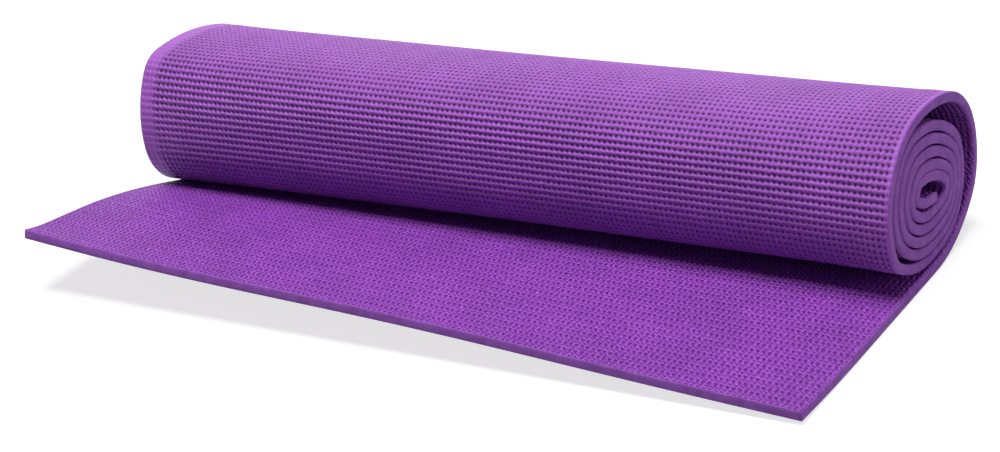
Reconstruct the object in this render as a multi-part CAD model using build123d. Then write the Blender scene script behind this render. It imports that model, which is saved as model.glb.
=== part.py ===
"""Exercise mat, partly rolled up and lying on its free end.

The mat is one long sheet: two layers of closed-cell PVC foam coated onto a polyester
scrim.  Most of it is wound into an oval roll round a collapsed core; the outermost turn
is loose, and the free end lies on the floor in front of the roll.

Frame: X along the roll, Y along the sheet from its free edge to the roll, Z up.
The origin is under the middle of the whole mat, on the floor.  Millimetres.

Two bodies.  The roll holds the wound sheet and the strip that it lies on.  The free end
is the flap in front of it, which lifts about a fold line along its top face.  The left
side of the strip and of the flap springs up from the floor, so both are twisted.
"""
import math
import os

from build123d import *

# ---- the sheet, laid flat ------------------------------------------------------------
WIDTH = 610.0               # 24 in, along the roll; the length comes to 1727, which is 68 in
THICKNESS = 7.0             # over the embossing, sold as 1/4 in
SCRIM = 0.3                 # polyester net in the middle of the foam

# ---- the tight roll ------------------------------------------------------------------
TURN_GAP = 1.4              # air between one turn and the next
PITCH = THICKNESS + TURN_GAP
TIGHT_RADIUS = 50.8         # underside of the first quarter of the tight roll
CORE_BEND = 10.0            # the sheet isn't wound tighter than this, so it sets the turns
CORE_SLIT = 25.0            # the core has sagged flat, so each turn has this much straight run
TONGUE = CORE_SLIT - 7.4    # straight end of the sheet, lying in the core

# ---- the loose outer turn, by how much wider it is than the tight roll ---------------
BACK_ROOM = 6.8             # lower back quarter
SHOULDER_ROOM = 7.2         # where the loose turn goes into and out of its crown
CROWN_ROOM = 29.2           # flatter arch over the top
FRONT_GAP = 1.6             # extra air between the loose turn's front wall and the tight roll
LOOSE_BACK = TIGHT_RADIUS + BACK_ROOM
LOOSE_SHOULDER = TIGHT_RADIUS + SHOULDER_ROOM
LOOSE_CROWN = TIGHT_RADIUS + CROWN_ROOM
LOOSE_DEPTH = 2 * (LOOSE_SHOULDER + (LOOSE_CROWN - LOOSE_SHOULDER) * math.sin(math.radians(45)))

# ---- the free end, and the strip between it and the roll's landing ---------------------
FLAP = 135.7                # sheet length in front of the fold line, on the flat right side
FOLD_GAP = 0.3              # between the two bodies, along the fold
FOLD_AHEAD = 7.1            # from the fold line to the front of the roll
LANDING = FOLD_AHEAD + LOOSE_BACK - PITCH           # fold line to where the loose turn lands
UNDER_ROLL = LOOSE_DEPTH - 2 * LOOSE_BACK + PITCH   # lying flat from there to the back quarter
HUG_LEFT = 20.0             # degrees: on the left the sheet follows the roll up before it leaves it
HUG_RIGHT = 1.2             # degrees: on the right it lies almost flat
SAG = 60.0                  # length over which the flap sags from that slope to its own
RISE_LEFT = 8.3             # degrees: slope of the flap from there to its left corner
RISE_RIGHT = 0.4            # degrees: and to its right corner
PANELS = 10                 # facets of the twisted sheet across its width
RULES = 2                   # facets along each straight stretch
BENDS = 3                   # along the bend beside the roll
SAGS = 5                    # along the sag

# ---- the three layers, as heights above the sheet's underside ------------------------
LAYERS = {
    "bottom_foam": (0.0, (THICKNESS - SCRIM) / 2),
    "scrim": ((THICKNESS - SCRIM) / 2, (THICKNESS + SCRIM) / 2),
    "top_foam": ((THICKNESS + SCRIM) / 2, THICKNESS),
}


def wound_runs():
    """The sheet from its landing to the core, as (kind, size, angle) runs.

    Radii are those of the underside, which faces outward on the roll.  The tight roll is
    a four-centre spiral: every quarter turn its radius falls by a quarter of the pitch,
    so each turn lies one pitch inside the last.
    """
    lift = LOOSE_BACK - PITCH       # lower front quarter lands on the strip underneath
    runs = [("line", UNDER_ROLL, 0), ("arc", LOOSE_BACK, 90), ("arc", LOOSE_SHOULDER, 45),
            ("arc", LOOSE_CROWN, 90), ("arc", LOOSE_SHOULDER, 45), ("arc", lift, 90)]
    # the tight roll starts where its front quarter will lie against the loose turn's front wall
    runs.append(("line", TIGHT_RADIUS + PITCH / 4 + FRONT_GAP - lift, 0))
    half_turns = int((TIGHT_RADIUS - CORE_BEND) / (PITCH / 2) + 0.5)
    for quarter in range(2 * half_turns):
        if quarter % 2 == 0:
            runs.append(("line", CORE_SLIT, 0))
        runs.append(("arc", TIGHT_RADIUS - quarter * PITCH / 4, 90))
    runs.append(("line", TONGUE, 0))
    return runs


def sheet_length(runs):
    """Length of the sheet's middle layer along a set of runs."""
    return sum(size if kind == "line" else (size - THICKNESS / 2) * math.radians(angle)
               for kind, size, angle in runs)


def free_stations(share):
    """Points along the sheet from the landing forward, on one section across the width.

    Gives the strip's stations and the flap's, each as (underside point, slope in degrees).
    The strip follows the roll's curve one pitch outside it, then runs straight to the fold
    line; the flap sags from there to its own slope.  Every section holds the same length.
    """
    hug = HUG_LEFT + (HUG_RIGHT - HUG_LEFT) * share
    rise = RISE_LEFT + (RISE_RIGHT - RISE_LEFT) * share
    bend = LOOSE_BACK * math.radians(HUG_LEFT)
    reach = bend / math.radians(hug) * math.sin(math.radians(hug))
    to_fold = bend + (LANDING - reach) / math.cos(math.radians(hug))
    sagged = to_fold + FOLD_GAP / 2 + SAG
    stops = [bend * k / BENDS for k in range(BENDS)]
    stops += [bend + (to_fold - FOLD_GAP / 2 - bend) * k / RULES for k in range(RULES + 1)]
    fold_stop = len(stops)
    stops += [to_fold + FOLD_GAP / 2 + SAG * k / SAGS for k in range(SAGS)]
    stops += [sagged + (LANDING + FLAP - sagged) * k / RULES for k in range(RULES + 1)]

    stations, at, last_stop, last_slope = [], Vector(LANDING, 0), 0.0, 0.0
    for stop in stops:
        past_fold = max(0.0, stop - to_fold - FOLD_GAP / 2)
        slope = hug * min(1.0, stop / bend) + (rise - hug) * min(1.0, past_fold / SAG)
        mean = math.radians((slope + last_slope) / 2)
        at += Vector(-math.cos(mean), math.sin(mean)) * (stop - last_stop)
        stations.append((at, slope))
        last_stop, last_slope = stop, slope
    return stations[:fold_stop], stations[fold_stop:]


def run_edges(start, heading, runs, height):
    """Edges of one face of the sheet, at a height above its underside.

    Arcs turn left for a positive angle, so the parallel face has a smaller radius.
    """
    edges, at, along = [], Vector(*start), Vector(*heading)
    for kind, size, angle in runs:
        if kind == "line":
            edge = Line(at, at + along * size)
        else:
            edge = JernArc(start=at, tangent=along, radius=size - height, arc_size=angle)
        edges.append(edge)
        at, along = edge @ 1, edge % 1
    return edges


def section(plane, low_edges, high_edges):
    """Closed face between two parallel runs of edges, on a plane across the roll."""
    caps = [Line(low_edges[0] @ 0, high_edges[0] @ 0), Line(low_edges[-1] @ 1, high_edges[-1] @ 1)]
    return plane * make_face([*low_edges, *high_edges, *caps])


def wound_layer(low, high):
    """One layer of the roll and of the sheet flat under it, as a prism along X."""
    runs = wound_runs()
    faces = [run_edges((LANDING, height), (1, 0), runs, height) for height in (low, high)]
    return extrude(section(Plane.YZ, *faces), amount=WIDTH / 2, both=True)


def faceted_sheet(columns):
    """Solid of flat facets from columns of (lower point, upper point), one column per section.

    Every four corners are split along the same diagonal on both faces, so the layers of
    the twisted sheet lie exactly on each other.
    """
    def facets(a, b, c, d):
        return [Face(Wire.make_polygon(three)) for three in ((a, b, c), (a, c, d))]

    faces = []
    for one, two in zip(columns, columns[1:]):
        for side in (0, 1):
            for j in range(len(one) - 1):
                faces += facets(one[j][side], two[j][side], two[j + 1][side], one[j + 1][side])
        for j in (0, -1):
            faces += facets(one[j][0], two[j][0], two[j][1], one[j][1])
    for column in (columns[0], columns[-1]):
        faces.append(Face(Wire.make_polygon([p[0] for p in column] + [p[1] for p in column[::-1]])))
    return Solid(Shell(faces))


def free_layers(low, high):
    """One layer of the strip and of the flap, from the left side to the right."""
    strips, flaps = [], []
    for panel in range(PANELS + 1):
        x = WIDTH * (panel / PANELS - 0.5)
        for stations, columns in zip(free_stations(panel / PANELS), (strips, flaps)):
            columns.append([tuple(Vector(x, at.X + math.sin(math.radians(slope)) * height,
                                         at.Y + math.cos(math.radians(slope)) * height)
                                  for height in (low, high)) for at, slope in stations])
    return faceted_sheet(strips), faceted_sheet(flaps)


solids = {}
for layer, (low, high) in LAYERS.items():
    strip, flap = free_layers(low, high)
    solids[f"rolled_{layer}"] = wound_layer(low, high) + strip
    solids[f"free_end_{layer}"] = flap

# The fold line was at Y = 0 while drawing; the finished part is centred on its own box.
whole = Compound(list(solids.values())).bounding_box()
to_centre = Location((0, -(whole.min.Y + whole.max.Y) / 2, -whole.min.Z))

os.makedirs("parts", exist_ok=True)
for node, solid in solids.items():
    export_step(to_centre * solid, f"parts/{node}.step")
    box = (to_centre * solid).bounding_box()
    print(node, "volume", round(solid.volume / 1000, 1), "cm3, Y", round(box.min.Y, 2), round(box.max.Y, 2),
          "Z", round(box.min.Z, 2), round(box.max.Z, 2))
print("sheet length", round(FLAP + LANDING + sheet_length(wound_runs()), 1))
for share in (0, 0.5, 1):
    (at, slope), lean = free_stations(share)[1][0], math.radians(free_stations(share)[1][0][1])
    print("top of the fold line, from the left", share, "Y",
          round(at.X + THICKNESS * math.sin(lean) + to_centre.position.Y, 3),
          "Z", round(at.Y + THICKNESS * math.cos(lean), 3))
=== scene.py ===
import math

import bmesh
import bpy
import numpy as np
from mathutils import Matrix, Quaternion, Vector


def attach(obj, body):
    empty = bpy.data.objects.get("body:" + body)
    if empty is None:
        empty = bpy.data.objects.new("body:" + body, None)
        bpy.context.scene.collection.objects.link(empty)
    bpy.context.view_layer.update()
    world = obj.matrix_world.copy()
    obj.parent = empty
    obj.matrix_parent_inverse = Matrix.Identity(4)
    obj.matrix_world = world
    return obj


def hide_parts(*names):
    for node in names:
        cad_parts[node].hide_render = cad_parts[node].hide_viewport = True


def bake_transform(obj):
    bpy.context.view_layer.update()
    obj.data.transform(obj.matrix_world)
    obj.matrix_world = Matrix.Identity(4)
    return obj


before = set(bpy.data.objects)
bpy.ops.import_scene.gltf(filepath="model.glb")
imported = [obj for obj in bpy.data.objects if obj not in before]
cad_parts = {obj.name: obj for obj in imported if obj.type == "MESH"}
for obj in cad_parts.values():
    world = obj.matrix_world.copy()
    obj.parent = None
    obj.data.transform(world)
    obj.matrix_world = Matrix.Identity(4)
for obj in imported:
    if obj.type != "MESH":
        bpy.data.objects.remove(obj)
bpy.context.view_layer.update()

# ---------------------------------------------------------------------------------------
# The free end: the first fifth of a metre of the mat, closed-cell PVC foam coated onto both
# sides of a polyester net and cut to width.  It comes out from under the roll, flat on the
# floor at its right side and sprung up at its left, and its embossed top face shows.

width = 0.610
thickness = 0.007
cells_across = 148                   # emboss cells from side to side, the same on both faces
cell_across = width / cells_across
hair = 1e-6                          # two places closer than this are one


def bend(radius, degrees):
    """A run of sheet wound to a radius: its length on the underside and the angle it turns."""
    return radius * math.radians(degrees), degrees


def straight(length):
    return length, 0.0


# Runs of sheet from the front edge to the fold behind, the left side's and the right side's:
# each is a length and the degrees it turns upwards.
free_end_runs = [
    ((0.0250, 8.4), (0.0250, 0.9)),
    ((0.0352, 0.0), (0.0350, 1.3)),
    ((0.0350, -4.0), (0.0300, 1.1)),
    ((0.0600, -5.2), straight(0.060)),
    (straight(0.0197), straight(0.022)),
    (bend(0.160, 16.8), straight(0.0469)),
]
front_edge = ((-0.1421, 0.0429, -16.0), (-0.1499, 0.0026, -3.3))   # y, z and slope of each side


class SheetLine:
    """The underside of the sheet's two sides, laid run after run from the front edge."""

    def __init__(self, front_edge):
        self.ends = [(y, z, math.radians(slope)) for y, z, slope in front_edge]
        self.starts = [[], []]       # of each side's runs: y, z, heading, length and turn
        self.side_from = [[0.0], [0.0]]        # length of each side in front of each run
        self.run_from = [0.0]                  # the same for the mean of the two sides

    def lay(self, runs):
        """Lays more runs and says how far along the sheet they end."""
        for run in runs:
            for side, (length, degrees) in enumerate(run):
                y, z, heading = self.ends[side]
                turn = math.radians(degrees)
                self.starts[side].append((y, z, heading, length, turn))
                self.side_from[side].append(self.side_from[side][-1] + length)
                if turn == 0:
                    y, z = y + length * math.cos(heading), z + length * math.sin(heading)
                else:
                    radius = length / turn
                    y += radius * (math.sin(heading + turn) - math.sin(heading))
                    z -= radius * (math.cos(heading + turn) - math.cos(heading))
                self.ends[side] = (y, z, heading + turn)
            self.run_from.append(self.run_from[-1] + (run[0][0] + run[1][0]) / 2)
        return self.run_from[-1]

    def place_on(self, side, along):
        """One side's underside at distances along the sheet: y, z and heading."""
        index = np.clip(np.searchsorted(self.run_from, along, side="right") - 1,
                        0, len(self.starts[side]) - 1)
        y, z, heading, length, turn = np.array(self.starts[side])[index].T
        share = (along - np.array(self.run_from)[index]) / np.diff(self.run_from)[index]
        angle = turn * share
        bent = turn != 0
        radius = length / np.where(bent, turn, 1.0)
        y_bent = y + radius * (np.sin(heading + angle) - np.sin(heading))
        z_bent = z - radius * (np.cos(heading + angle) - np.cos(heading))
        y_flat = y + length * share * np.cos(heading)
        z_flat = z + length * share * np.sin(heading)
        return np.where(bent, y_bent, y_flat), np.where(bent, z_bent, z_flat), heading + angle

    def distance(self, across, along, zero):
        """True distance along the sheet from the line at zero, blended from the two sides."""
        share = across / width + 0.5
        left, right = (np.interp(along, self.run_from, side_from)
                       - np.interp(zero, self.run_from, side_from)
                       for side_from in self.side_from)
        return left * (1 - share) + right * share


mat_line = SheetLine(front_edge)
contact = mat_line.lay(free_end_runs)          # the fold line, where the roll touches the floor

middle_sag = 0.015          # share of its height that the sheet sinks by between its two sides
ripple_waves = ((1, 0.0002), (2, -0.0010), (3, -0.0009))     # half waves across and height


def ramp(value, from_value, to_value):
    """Rises evenly from 0 at one value to 1 at the other, and stays so beyond them."""
    return np.clip((value - from_value) / (to_value - from_value), 0, 1)


def between_sides(share):
    """How far from both cut sides a place across the sheet is, 0 to 1."""
    return 1 - (2 * share - 1) ** 4


def wind_up(flat, settle):
    """Takes places on the flat slab (across, along, height) to where they are on the mat.

    settle gives how far the piece has moved (across, y, z) since it was laid so.
    """
    across, along, height = flat.T
    share = across / width + 0.5
    left = mat_line.place_on(0, along)
    right = mat_line.place_on(1, along)
    y = left[0] * (1 - share) + right[0] * share
    z = left[1] * (1 - share) + right[1] * share
    normal_y = -np.sin(left[2]) * (1 - share) - np.sin(right[2]) * share
    normal_z = np.cos(left[2]) * (1 - share) + np.cos(right[2]) * share
    size = np.hypot(normal_y, normal_z)
    y += normal_y / size * height
    z += normal_z / size * height
    moved_across, moved_y, moved_z = settle(share, along, y, z)
    z *= 1 - middle_sag * between_sides(share)
    return np.stack([across + moved_across, y + moved_y, z + moved_z], axis=1)


def free_end_settles(share, along, y, z):
    """The free end ripples a little, most at its front edge."""
    ripple = sum(high * np.sin(np.pi * half_waves * share) for half_waves, high in ripple_waves)
    return 0.0, 0.0, ripple * ramp(along, contact, 0) ** 2


# The embossing rollers' patterns.  A wave has its cells across and along the sheet, its
# strength and its shift in degrees.  The margins are the plain strips beside the cut sides.
top_face = {"along": 0.00875, "left_margin": 0.0, "right_margin": 0.0, "waves": (
    (1, 0, 0.35, 180), (1, 1, 0.14, -150), (1, 2, 0.24, -140), (0, 1, 0.08, 180),
    (0, 2, 0.18, 120), (1, 3, 0.22, 60))}
underside = {"along": 0.00505, "left_margin": 0.011, "right_margin": 0.002, "waves": (
    (0, 1, 0.47, 180), (1, 0, 0.50, 180), (1, -1, 0.08, -120), (1, 1, 0.05, -150),
    (0, 2, 0.05, 150))}
margin_fade = 0.003                  # strip over which the pattern fades into a plain margin
margin_relief = 0.3                  # share of the pattern that is left in a plain margin


def embossed(face, across, distance):
    """Height of a face's embossing, about -1 to 1, fading out into its plain margins."""
    height = np.zeros_like(across)
    for columns, rows, strength, shift in face["waves"]:
        phase = columns * (across + width / 2) / cell_across + rows * distance / face["along"]
        height += strength * np.cos(2 * np.pi * phase + math.radians(shift))
    for margin, from_side in ((face["left_margin"], across + width / 2),
                              (face["right_margin"], width / 2 - across)):
        if margin:
            inside = ramp(from_side, margin, margin + margin_fade)
            height *= margin_relief + (1 - margin_relief) * inside
    return height


def math_node(tree, kind, *values):
    """Adds one arithmetic node; a value is a number or the socket it comes from."""
    node = tree.nodes.new("ShaderNodeMath")
    node.operation = kind
    for socket, value in zip(node.inputs, values):
        if isinstance(value, (int, float)):
            socket.default_value = value
        else:
            tree.links.new(value, socket)
    return node.outputs[0]


def noise_node(tree, place, scale, detail):
    """Adds a noise texture read at a place."""
    noise = tree.nodes.new("ShaderNodeTexNoise")
    noise.inputs["Scale"].default_value = scale
    noise.inputs["Detail"].default_value = detail
    tree.links.new(place, noise.inputs["Vector"])
    return noise


def emboss_group(name, face, waver):
    """Node group: the height, 0 to 1, of a face's embossing at a place on the sheet.

    waver is how far, in metres, the cells stray from a straight pattern.
    """
    group = bpy.data.node_groups.new(name, "ShaderNodeTree")
    group.interface.new_socket("Place", in_out="INPUT", socket_type="NodeSocketVector")
    group.interface.new_socket("Height", in_out="OUTPUT", socket_type="NodeSocketFloat")
    place = group.nodes.new("NodeGroupInput").outputs["Place"]
    wobble = noise_node(group, place, scale=330, detail=1)
    stray = group.nodes.new("ShaderNodeSeparateColor")
    group.links.new(wobble.outputs["Color"], stray.inputs[0])
    where = group.nodes.new("ShaderNodeSeparateXYZ")
    group.links.new(place, where.inputs[0])
    x = math_node(group, "ADD", where.outputs[0], width / 2 - waver / 2)
    x = math_node(group, "MULTIPLY_ADD", stray.outputs[0], waver, x)
    y = math_node(group, "ADD", where.outputs[1], -waver / 2)
    y = math_node(group, "MULTIPLY_ADD", stray.outputs[1], waver, y)
    height = 0.5
    for columns, rows, strength, shift in face["waves"]:
        turn = math_node(group, "MULTIPLY", x, 2 * math.pi * columns / cell_across)
        turn = math_node(group, "MULTIPLY_ADD", y, 2 * math.pi * rows / face["along"], turn)
        wave = math_node(group, "COSINE", math_node(group, "ADD", turn, math.radians(shift)))
        height = math_node(group, "MULTIPLY_ADD", wave, strength / 2, height)
    relief = math_node(group, "SUBTRACT", height, 0.5)
    for margin, direction in ((face["left_margin"], 1), (face["right_margin"], -1)):
        if margin:
            inside = group.nodes.new("ShaderNodeMapRange")
            inside.interpolation_type = "SMOOTHSTEP"
            inside.inputs["From Min"].default_value = direction * (margin - width / 2)
            faded_in = margin + margin_fade
            inside.inputs["From Max"].default_value = direction * (faded_in - width / 2)
            inside.inputs["To Min"].default_value = margin_relief
            group.links.new(where.outputs[0], inside.inputs["Value"])
            relief = math_node(group, "MULTIPLY", relief, inside.outputs[0])
    outside = group.nodes.new("NodeGroupOutput")
    group.links.new(math_node(group, "ADD", relief, 0.5), outside.inputs["Height"])
    return group


def foam_skin():
    """Node group: the foam's blotchy tone, about 1, and the grain of its coated skin."""
    group = bpy.data.node_groups.new("foam_skin", "ShaderNodeTree")
    group.interface.new_socket("Place", in_out="INPUT", socket_type="NodeSocketVector")
    group.interface.new_socket("Tone", in_out="OUTPUT", socket_type="NodeSocketFloat")
    group.interface.new_socket("Grain", in_out="OUTPUT", socket_type="NodeSocketFloat")
    place = group.nodes.new("NodeGroupInput").outputs["Place"]
    outside = group.nodes.new("NodeGroupOutput")
    tone = group.nodes.new("ShaderNodeMapRange")
    tone.inputs["From Min"].default_value = 0.3
    tone.inputs["From Max"].default_value = 0.7
    tone.inputs["To Min"].default_value = 0.90
    tone.inputs["To Max"].default_value = 1.10
    blotch = noise_node(group, place, scale=22, detail=4)
    group.links.new(blotch.outputs["Fac"], tone.inputs["Value"])
    group.links.new(tone.outputs[0], outside.inputs["Tone"])
    grain = noise_node(group, place, scale=1500, detail=2)
    group.links.new(grain.outputs["Fac"], outside.inputs["Grain"])
    return group


skin_group = foam_skin()
grain_height = 0.14                  # the skin's grain, as a share of the embossing's height
bump_depth = 0.0024                  # how deep the shader's embossing looks


def embossed_foam(name, face, waver, foam_colour, pit_shade_colour, pit_shade_from, pit_shade_to):
    """Matt PVC foam with embossed cells: the foam's own colour on the cell tops, painted shade
    darkening the pits, and a grained skin.
    """
    material = bpy.data.materials.new(name)
    material.use_nodes = True
    tree = material.node_tree
    shader = tree.nodes["Principled BSDF"]
    place = tree.nodes.new("ShaderNodeAttribute")
    place.attribute_name = "sheet_place"
    cells = tree.nodes.new("ShaderNodeGroup")
    cells.node_tree = emboss_group(name + "_cells", face, waver)
    tree.links.new(place.outputs["Vector"], cells.inputs["Place"])
    skin = tree.nodes.new("ShaderNodeGroup")
    skin.node_tree = skin_group
    tree.links.new(place.outputs["Vector"], skin.inputs["Place"])
    # Painted shade: low places in the embossing take the darker pit colour, standing in for the
    # shade that falls in the pits.
    pit_shading = tree.nodes.new("ShaderNodeMapRange")
    pit_shading.interpolation_type = "SMOOTHSTEP"
    pit_shading.inputs["From Min"].default_value = pit_shade_from
    pit_shading.inputs["From Max"].default_value = pit_shade_to
    tree.links.new(cells.outputs["Height"], pit_shading.inputs["Value"])
    colour = tree.nodes.new("ShaderNodeMix")
    colour.data_type = "RGBA"
    colour.inputs["A"].default_value = (*pit_shade_colour, 1)
    colour.inputs["B"].default_value = (*foam_colour, 1)
    tree.links.new(pit_shading.outputs[0], colour.inputs["Factor"])
    uneven = tree.nodes.new("ShaderNodeVectorMath")
    uneven.operation = "SCALE"
    tree.links.new(colour.outputs["Result"], uneven.inputs[0])
    tree.links.new(skin.outputs["Tone"], uneven.inputs["Scale"])
    tree.links.new(uneven.outputs[0], shader.inputs["Base Color"])
    tall = math_node(tree, "MULTIPLY_ADD", skin.outputs["Grain"], grain_height,
                     cells.outputs["Height"])
    bump = tree.nodes.new("ShaderNodeBump")
    bump.inputs["Distance"].default_value = bump_depth
    bump.inputs["Strength"].default_value = 1.0
    tree.links.new(tall, bump.inputs["Height"])
    tree.links.new(bump.outputs[0], shader.inputs["Normal"])
    shader.inputs["Roughness"].default_value = 0.42
    shader.inputs["Specular IOR Level"].default_value = 0.25
    return material


# The darker pit colours are painted shade for the embossed pits; the other colour is the foam's
# own.
grid_foam = embossed_foam("grid_foam", underside, waver=0.0011,
                          foam_colour=(0.370, 0.110, 0.54), pit_shade_colour=(0.045, 0.004, 0.11),
                          pit_shade_from=0.0, pit_shade_to=0.44)
twill_foam = embossed_foam("twill_foam", top_face, waver=0.0022,
                           foam_colour=(0.36, 0.079, 0.56), pit_shade_colour=(0.105, 0.010, 0.215),
                           pit_shade_from=0.14, pit_shade_to=0.62)

# Cut edges: the knife leaves a plain, faintly pored band with no skin.
cut_foam = bpy.data.materials.new("cut_foam")
cut_foam.use_nodes = True
cut_nodes, cut_links = cut_foam.node_tree.nodes, cut_foam.node_tree.links
cut_shader = cut_nodes["Principled BSDF"]
cut_place = cut_nodes.new("ShaderNodeTexCoord").outputs["Object"]
pores = noise_node(cut_foam.node_tree, cut_place, scale=900, detail=3)
blotches = noise_node(cut_foam.node_tree, cut_place, scale=130, detail=2)
cut_ramp = cut_nodes.new("ShaderNodeValToRGB")
cut_ramp.color_ramp.elements[0].position = 0.32
cut_ramp.color_ramp.elements[0].color = (0.25, 0.078, 0.41, 1)
cut_ramp.color_ramp.elements[1].position = 0.66
cut_ramp.color_ramp.elements[1].color = (0.32, 0.110, 0.51, 1)
cut_links.new(blotches.outputs["Fac"], cut_ramp.inputs["Fac"])
cut_links.new(cut_ramp.outputs["Color"], cut_shader.inputs["Base Color"])
cut_bump = cut_nodes.new("ShaderNodeBump")
cut_bump.inputs["Distance"].default_value = 0.0004
cut_bump.inputs["Strength"].default_value = 0.8
cut_links.new(pores.outputs["Fac"], cut_bump.inputs["Height"])
cut_links.new(cut_bump.outputs[0], cut_shader.inputs["Normal"])
cut_shader.inputs["Roughness"].default_value = 0.7
cut_shader.inputs["Specular IOR Level"].default_value = 0.15

edge_round = 0.0006                  # the knife's edge is hardly rounded
sharp_angle = math.radians(50)


def cut_slab(name, start, end, columns, row_length, cut_ends, relief, settle):
    """A flat slab of mat, start to end along the sheet, with rounded cut edges, then wound up.

    columns are the places across at which it has vertices, and its rows are about a
    row_length apart; cut_ends are the places along the sheet where the knife cut it; relief
    is the (underside, top) depth of the embossing.
    """
    rows = round((end - start) / row_length)
    bm = bmesh.new()
    bmesh.ops.create_grid(bm, x_segments=len(columns) - 1, y_segments=rows, size=0.5)
    for v in bm.verts:
        v.co.x = columns[round((v.co.x + 0.5) * (len(columns) - 1))]
        v.co.y = start + (v.co.y + 0.5) * (end - start)
    bmesh.ops.reverse_faces(bm, faces=bm.faces[:])
    raised = bmesh.ops.extrude_face_region(bm, geom=bm.faces[:], use_keep_orig=True)
    bmesh.ops.translate(bm, vec=(0, 0, thickness),
                        verts=[g for g in raised["geom"] if isinstance(g, bmesh.types.BMVert)])
    bmesh.ops.recalc_face_normals(bm, faces=bm.faces[:])
    upright = [e for e in bm.edges if abs(e.verts[0].co.z - e.verts[1].co.z) > thickness / 2]
    bmesh.ops.subdivide_edges(bm, edges=upright, cuts=2)

    def is_rim(edge):
        """Whether an edge runs round a cut side or end, on the top face or the underside."""
        on_face = any(all(abs(v.co.z - level) < hair for v in edge.verts)
                      for level in (0, thickness))
        on_side = all(abs(v.co.x) > width / 2 - hair for v in edge.verts)
        on_end = any(all(abs(v.co.y - place) < hair for v in edge.verts) for place in cut_ends)
        at_wall = any(abs(f.normal.z) < 0.5 for f in edge.link_faces)
        return on_face and (on_side or on_end) and at_wall

    bmesh.ops.bevel(bm, geom=[e for e in bm.edges if is_rim(e)], offset=edge_round,
                    segments=1, profile=0.5, affect="EDGES", material=-1)
    bm.normal_update()
    for f in bm.faces:
        f.smooth = True
        f.material_index = 1 if f.normal.z > 0.9 else 0 if f.normal.z < -0.9 else 2
    mesh = bpy.data.meshes.new(name)
    bm.to_mesh(mesh)
    bm.free()
    for foam in (grid_foam, twill_foam, cut_foam):
        mesh.materials.append(foam)

    flat = np.empty(len(mesh.vertices) * 3, np.float32)
    mesh.vertices.foreach_get("co", flat)
    flat = flat.reshape(-1, 3).astype(float)
    flat[:, 0] = np.clip(flat[:, 0], -width / 2, width / 2)
    sheet_place = flat.copy()
    sheet_place[:, 1] = mat_line.distance(flat[:, 0], flat[:, 1], contact)
    place = mesh.attributes.new("sheet_place", "FLOAT_VECTOR", "POINT")
    place.data.foreach_set("vector", sheet_place.astype(np.float32).ravel())
    top = flat[:, 2] > thickness * 0.8
    under = flat[:, 2] < thickness * 0.2
    flat[under, 2] -= relief[0] * embossed(underside, *sheet_place[under, :2].T)
    flat[top, 2] += relief[1] * embossed(top_face, *sheet_place[top, :2].T)
    mesh.vertices.foreach_set("co", wind_up(flat, settle).astype(np.float32).ravel())
    mesh.update()
    mesh.set_sharp_from_angle(angle=sharp_angle)
    piece = bpy.data.objects.new(name, mesh)
    bpy.context.scene.collection.objects.link(piece)
    return piece


three_a_cell = np.linspace(-width / 2, width / 2, 3 * cells_across + 1)
free_end = cut_slab("mat_free_end", 0.0, contact, three_a_cell, top_face["along"] / 4,
                    cut_ends=(0.0,), relief=(0.0, 0.00022), settle=free_end_settles)
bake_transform(free_end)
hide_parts("free_end_top_foam", "free_end_scrim", "free_end_bottom_foam")

# ---------------------------------------------------------------------------------------
# The loose outer turn: the same foam sheet turned up behind, arched over the roll and
# brought down in front.  Its underside faces out, ribbed with rows of small beads, and only
# its own stiffness and the turns inside hold it.

loose_turn_runs = [
    (bend(left, degrees), bend(right, degrees)) for degrees, left, right in (
        (40, 0.0950, 0.1053), (40, 0.0507, 0.0392), (15, 0.0503, 0.0667), (40, 0.0513, 0.0520),
        (25, 0.0528, 0.0619), (26, 0.1848, 0.1360), (50, 0.0261, 0.0631), (38, 0.0875, 0.0532),
        (16, 0.0451, 0.0779), (38, 0.0450, 0.0262), (32, 0.0618, 0.1034))]
tight_from = mat_line.lay(loose_turn_runs)
loose_drift = -0.0020                # wound slightly askew, the turn drifts to the left
most_drawn_back = 0.0070             # halfway between the sides, low at the front


def draw_back(share, y, z):
    """How far the roll's lower front draws back between its two stiffer ends."""
    front = ramp(y, 0.067, 0.002) * ramp(z, 0.118, 0.063)
    return most_drawn_back * between_sides(share) * front ** 2 * (3 - 2 * front)


def loose_turn_settles(share, along, y, z):
    """The loose turn drifts to the left, and its lower front draws back."""
    drift = loose_drift * ramp(along, contact, tight_from)
    return drift, draw_back(share, y, z) * (along > contact), 0.0


# Ribs run across, so the columns stand close only in the margins beside the cut sides.
rim_columns = np.array([0, 0.002, 0.005, 0.008, 0.011, 0.014, 0.020])
rib_columns = np.concatenate([rim_columns - width / 2,
                              np.linspace(-width / 2, width / 2, 51)[2:-2],
                              width / 2 - rim_columns[::-1]])
loose_turn = cut_slab("mat_loose_turn", contact, tight_from, rib_columns,
                      underside["along"] / 6, cut_ends=(), relief=(0.00042, 0.0),
                      settle=loose_turn_settles)
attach(loose_turn, "roll")


# ---------------------------------------------------------------------------------------
# The tight roll: the rest of the foam sheet, five turns wound by hand round a flattened
# core, each stepping out a little to the right of the one outside it.  The sheet's far end
# is tucked in the core, and friction between the turns holds them.

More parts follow.
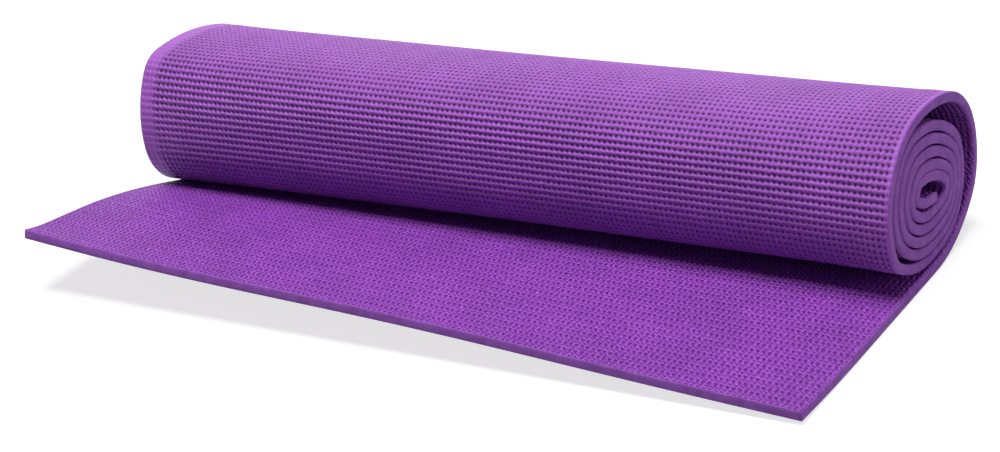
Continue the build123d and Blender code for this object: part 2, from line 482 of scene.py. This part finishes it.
pitch = 0.0084                       # sheet and air between one turn and the next
full_turns = 5
last_turn_from = 345                 # degrees at which the last turn ends in a short bend
tightest = 0.003                     # radius the foam won't bend under
tight_roll_runs = [(straight(0.0166), straight(0.0004))]
for turn in range(full_turns):
    angle = 0
    for degrees, radius in ((8, 0.1414), (12, 0.0725), (25, 0.0383), (30, 0.0465), (30, 0.0510),
                            (35, 0.0362), (40, 0.1066), (35, 0.0504), (35, 0.0518), (35, 0.0481),
                            (30, 0.0432), (30, 0.0749), (15, 0.0949)):
        if turn == full_turns - 1 and angle >= last_turn_from:
            degrees = 5
        wound = turn + (angle + degrees / 2) / 360
        tight_roll_runs.append((bend(max(radius - pitch * wound, tightest), degrees),) * 2)
        angle += degrees
tight_roll_runs.append((straight(0.014), straight(0.014)))
sheet_end = mat_line.lay(tight_roll_runs)
tight_drift = 0.0022                 # the tight turns step back to the right
pulled_in = 0.0016                   # gap by which they have left the loose turn at the front


def tight_roll_settles(share, along, y, z):
    """The tight turns step back to the right and have pulled in at the front."""
    drift = loose_drift + tight_drift * ramp(along, tight_from, sheet_end)
    front = ramp(y, 0.060, 0.010) * ramp(z, 0.014, 0.044) * ramp(z, 0.118, 0.078)
    pull = pulled_in * front * (along > tight_from)
    return drift, pull + draw_back(share, y + pull, z), 0.0


tight_roll = cut_slab("mat_tight_roll", tight_from, sheet_end, rib_columns[::3],
                      underside["along"] / 4, cut_ends=(sheet_end,), relief=(0.00034, 0.0),
                      settle=tight_roll_settles)
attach(tight_roll, "roll")
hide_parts("rolled_top_foam", "rolled_scrim", "rolled_bottom_foam")

# ---------------------------------------------------------------------------------------
# The studio: a plain pale floor under the mat and pale surroundings.  Both show as white
# when they are looked at, but give the mat little light, and the floor keeps its shadow.

floor_reach = 1.2                    # the floor stops this far from the mat's middle
floor_mesh = bpy.data.meshes.new("floor")
bm = bmesh.new()
bmesh.ops.create_grid(bm, x_segments=1, y_segments=1, size=floor_reach)
bm.to_mesh(floor_mesh)
bm.free()
floor = bpy.data.objects.new("floor", floor_mesh)
bpy.context.scene.collection.objects.link(floor)


def shows_plain(tree):
    """1 where a surface is looked at, straight or in gloss or glass, 0 where it gives light."""
    rays = tree.nodes.new("ShaderNodeLightPath").outputs
    seen = math_node(tree, "MAXIMUM", rays["Is Camera Ray"], rays["Is Glossy Ray"])
    return math_node(tree, "MAXIMUM", seen, rays["Is Transmission Ray"])


white = bpy.data.materials.new("white_floor")
white.use_nodes = True
white_shader = white.node_tree.nodes["Principled BSDF"]
white_shader.inputs["Base Color"].default_value = (0.5, 0.5, 0.5, 1)
white_shader.inputs["Roughness"].default_value = 0.9
white_shader.inputs["Specular IOR Level"].default_value = 0.1
white.node_tree.links.new(shows_plain(white.node_tree), white_shader.inputs["Emission Color"])
white_shader.inputs["Emission Strength"].default_value = 0.72
floor_mesh.materials.append(white)

world = bpy.data.worlds.new("studio")
bpy.context.scene.world = world
world.use_nodes = True
background = world.node_tree.nodes["Background"]
strength = world.node_tree.nodes.new("ShaderNodeMapRange")
strength.inputs["To Min"].default_value = 0.06
strength.inputs["To Max"].default_value = 1.0
world.node_tree.links.new(shows_plain(world.node_tree), strength.inputs["Value"])
world.node_tree.links.new(strength.outputs[0], background.inputs["Strength"])
background.inputs["Color"].default_value = (1, 1, 1, 1)


def soft_box(name, place, aim, size, power):
    """A rectangular lamp behind diffusing cloth, aimed at a place on the mat."""
    lamp = bpy.data.lights.new(name, "AREA")
    lamp.shape = "RECTANGLE"
    lamp.size, lamp.size_y = size
    lamp.energy = power
    holder = bpy.data.objects.new(name, lamp)
    holder.location = place
    holder.rotation_mode = "QUATERNION"
    holder.rotation_quaternion = (Vector(aim) - Vector(place)).to_track_quat("-Z", "Y")
    bpy.context.scene.collection.objects.link(holder)


soft_box("overhead", place=(0.0, -0.15, 1.6), aim=(0, 0, 0), size=(1.3, 0.8), power=33)
soft_box("end_light", place=(2.4, 0.35, 0.6), aim=(0.3, 0.06, 0.06), size=(0.8, 0.8), power=8)
soft_box("front_fill", place=(-0.7, -2.2, 0.9), aim=(0, 0, 0.05), size=(1.4, 0.8), power=1.5)

# The camera looks along the roll from its right end, a little above, and is tilted sideways.
look = Vector((-0.50426, 0.76006, -0.40992))
tilt = Quaternion((0, 0, 1), math.radians(-7.65))
camera = bpy.data.objects.new("camera", bpy.data.cameras.new("camera"))
camera.data.lens = 91.6
camera.data.sensor_width = 36
camera.location = (0.9078, -1.356, 0.7588)
camera.rotation_mode = "QUATERNION"
camera.rotation_quaternion = look.to_track_quat("-Z", "Y") @ tilt
bpy.context.scene.collection.objects.link(camera)
bpy.context.scene.camera = camera
bpy.context.scene.view_settings.view_transform = "Standard"
